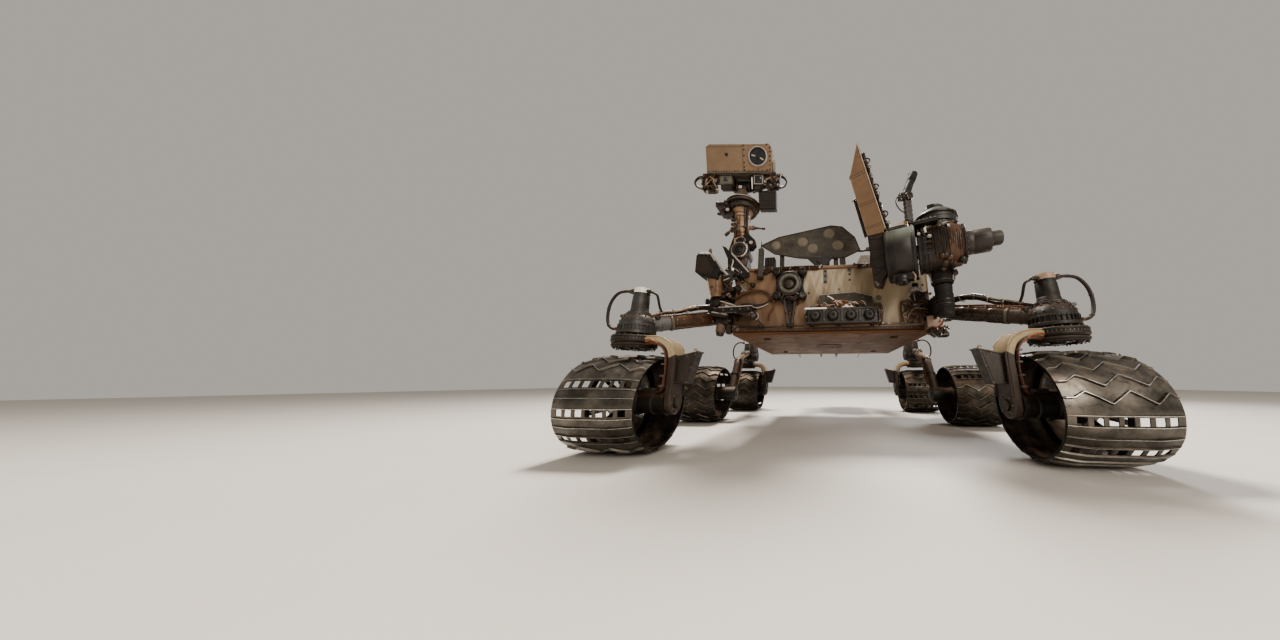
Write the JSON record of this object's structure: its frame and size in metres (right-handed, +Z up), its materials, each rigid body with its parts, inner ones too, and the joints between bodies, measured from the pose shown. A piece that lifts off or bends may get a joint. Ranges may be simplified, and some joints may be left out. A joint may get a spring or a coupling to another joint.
{
  "type": "planetary rover",
  "caption": "Six-wheeled planetary rover with rocker-bogie legs, camera mast, folded robotic arm, steerable antenna and a finned power unit at the back.",
  "frame": {"origin": "on the floor under the middle of the overall box", "axes": "+X the rover's own left, -Y its front, +Z up"},
  "size_m": [2.76, 2.85, 2.1006],
  "materials": {
    "bare_aluminium": "dark anodised, dusty",
    "tan_paint": "satin thermal paint under dust",
    "dark_housing": "satin dark grey-brown",
    "dark_tube": "wrapped tube, satin",
    "bare_titanium": "bare metal",
    "white_paint": "white paint under dust",
    "grey_green_paint": "matt grey-green"
  },
  "bodies": {
    "root": {"aerial_post": "dark_housing", "belly_pan": "tan_paint", "bit_holder": "dark_housing", "bogie_left": "dark_tube", "bogie_right": "dark_tube", "corner_canister": "tan_paint", "corner_frame": "dark_housing", "differential_bar": "dark_tube", "dish_base": "dark_housing", "equipment_box": "tan_paint", "hazard_camera_box": "dark_housing", "link_bars": "bare_titanium", "mast_foot": "dark_housing", "mast_tube": "tan_paint", "observation_tray": "grey_green_paint", "payload_plate": "bare_titanium", "power_unit": "white_paint", "power_unit_cradle": "white_paint", "radiator_plates": "white_paint", "relay_antenna": "white_paint", "rocker_left": "dark_tube", "rocker_right": "dark_tube", "sample_inlets": "dark_housing", "shoulder_base": "dark_housing", "steering_cables": "dark_housing", "steering_motors": "dark_housing", "tilted_cover_plate": "dark_housing", "top_deck": "tan_paint", "weather_booms": "bare_titanium"},
    "arm_azimuth": {"shoulder_azimuth_drive": "grey_green_paint"},
    "arm_upper": {"shoulder_barrel": "grey_green_paint", "upper_arm": "tan_paint"},
    "arm_fore": {"forearm": "bare_titanium"},
    "arm_turret": {"tool_turret": "bare_titanium"},
    "mast_pan": {"pan_yoke": "dark_housing"},
    "mast_head": {"head_box": "tan_paint", "stereo_camera_bar": "dark_housing", "camera_electronics_box": "dark_housing"},
    "dish_turn": {"dish_yoke": "dark_housing"},
    "dish_tip": {"dish_panel": "white_paint"},
    "knuckle_front_left": {"steering_knuckle_front_left": "grey_green_paint"},
    "knuckle_front_right": {"steering_knuckle_front_right": "grey_green_paint"},
    "knuckle_rear_left": {"steering_knuckle_rear_left": "grey_green_paint"},
    "knuckle_rear_right": {"steering_knuckle_rear_right": "grey_green_paint"},
    "wheel_front_left": {"wheel_front_left": "bare_aluminium"},
    "wheel_front_right": {"wheel_front_right": "bare_aluminium"},
    "wheel_middle_left": {"wheel_middle_left": "bare_aluminium"},
    "wheel_middle_right": {"wheel_middle_right": "bare_aluminium"},
    "wheel_rear_left": {"wheel_rear_left": "bare_aluminium"},
    "wheel_rear_right": {"wheel_rear_right": "bare_aluminium"}
  },
  "joints": [
    {"name": "steer_front_left", "type": "hinge", "parent": "root", "child": "knuckle_front_left", "pos_m": [1.09, -1.175, 0.58], "axis": [0, 0, 1], "range_deg": [-90, 90]},
    {"name": "steer_front_right", "type": "hinge", "parent": "root", "child": "knuckle_front_right", "pos_m": [-1.09, -1.175, 0.58], "axis": [0, 0, 1], "range_deg": [-90, 90]},
    {"name": "steer_rear_left", "type": "hinge", "parent": "root", "child": "knuckle_rear_left", "pos_m": [1.09, 0.985, 0.58], "axis": [0, 0, 1], "range_deg": [-90, 90]},
    {"name": "steer_rear_right", "type": "hinge", "parent": "root", "child": "knuckle_rear_right", "pos_m": [-1.09, 0.985, 0.58], "axis": [0, 0, 1], "range_deg": [-90, 90]},
    {"name": "spin_front_left", "type": "hinge", "parent": "knuckle_front_left", "child": "wheel_front_left", "pos_m": [1.09, -1.175, 0.25], "axis": [1, 0, 0], "continuous": true},
    {"name": "spin_front_right", "type": "hinge", "parent": "knuckle_front_right", "child": "wheel_front_right", "pos_m": [-1.09, -1.175, 0.25], "axis": [1, 0, 0], "continuous": true},
    {"name": "spin_middle_left", "type": "hinge", "parent": "root", "child": "wheel_middle_left", "pos_m": [1.18, -0.075, 0.25], "axis": [1, 0, 0], "continuous": true},
    {"name": "spin_middle_right", "type": "hinge", "parent": "root", "child": "wheel_middle_right", "pos_m": [-1.18, -0.075, 0.25], "axis": [1, 0, 0], "continuous": true},
    {"name": "spin_rear_left", "type": "hinge", "parent": "knuckle_rear_left", "child": "wheel_rear_left", "pos_m": [1.09, 0.985, 0.25], "axis": [1, 0, 0], "continuous": true},
    {"name": "spin_rear_right", "type": "hinge", "parent": "knuckle_rear_right", "child": "wheel_rear_right", "pos_m": [-1.09, 0.985, 0.25], "axis": [1, 0, 0], "continuous": true},
    {"name": "mast_pan", "type": "hinge", "parent": "root", "child": "mast_pan", "pos_m": [-0.64, -0.8, 1.68], "axis": [0, 0, 1], "range_deg": [-180, 180]},
    {"name": "mast_tilt", "type": "hinge", "parent": "mast_pan", "child": "mast_head", "pos_m": [-0.64, -0.8, 1.85], "axis": [-0.9962, -0.0872, 0], "range_deg": [-65, 113]},
    {"name": "dish_turn", "type": "hinge", "parent": "root", "child": "dish_turn", "pos_m": [0.43, 0.12, 1.25], "axis": [0, 0, 1], "range_deg": [-170, 170]},
    {"name": "dish_tip", "type": "hinge", "parent": "dish_turn", "child": "dish_tip", "pos_m": [0.43, 0.12, 1.48], "axis": [-1, 0, 0], "range_deg": [-30, 90]},
    {"name": "shoulder_azimuth", "type": "hinge", "parent": "root", "child": "arm_azimuth", "pos_m": [0.617, -1.125, 0.87], "axis": [0, 0, 1], "range_deg": [-5, 110]},
    {"name": "shoulder_elevation", "type": "hinge", "parent": "arm_azimuth", "child": "arm_upper", "pos_m": [0.27006, -1.07534, 1.05], "axis": [0.9397, -0.342, 0], "range_deg": [0, 100]},
    {"name": "elbow", "type": "hinge", "parent": "arm_upper", "child": "arm_fore", "pos_m": [0.24174, -1.0596, 1.60315], "axis": [0.9397, -0.342, 0], "range_deg": [0, 145]},
    {"name": "turret_turn", "type": "hinge", "parent": "arm_fore", "child": "arm_turret", "pos_m": [0.35286, -0.7543, 1.34], "axis": [0.9397, -0.342, 0], "range_deg": [-170, 170]}
  ]
}
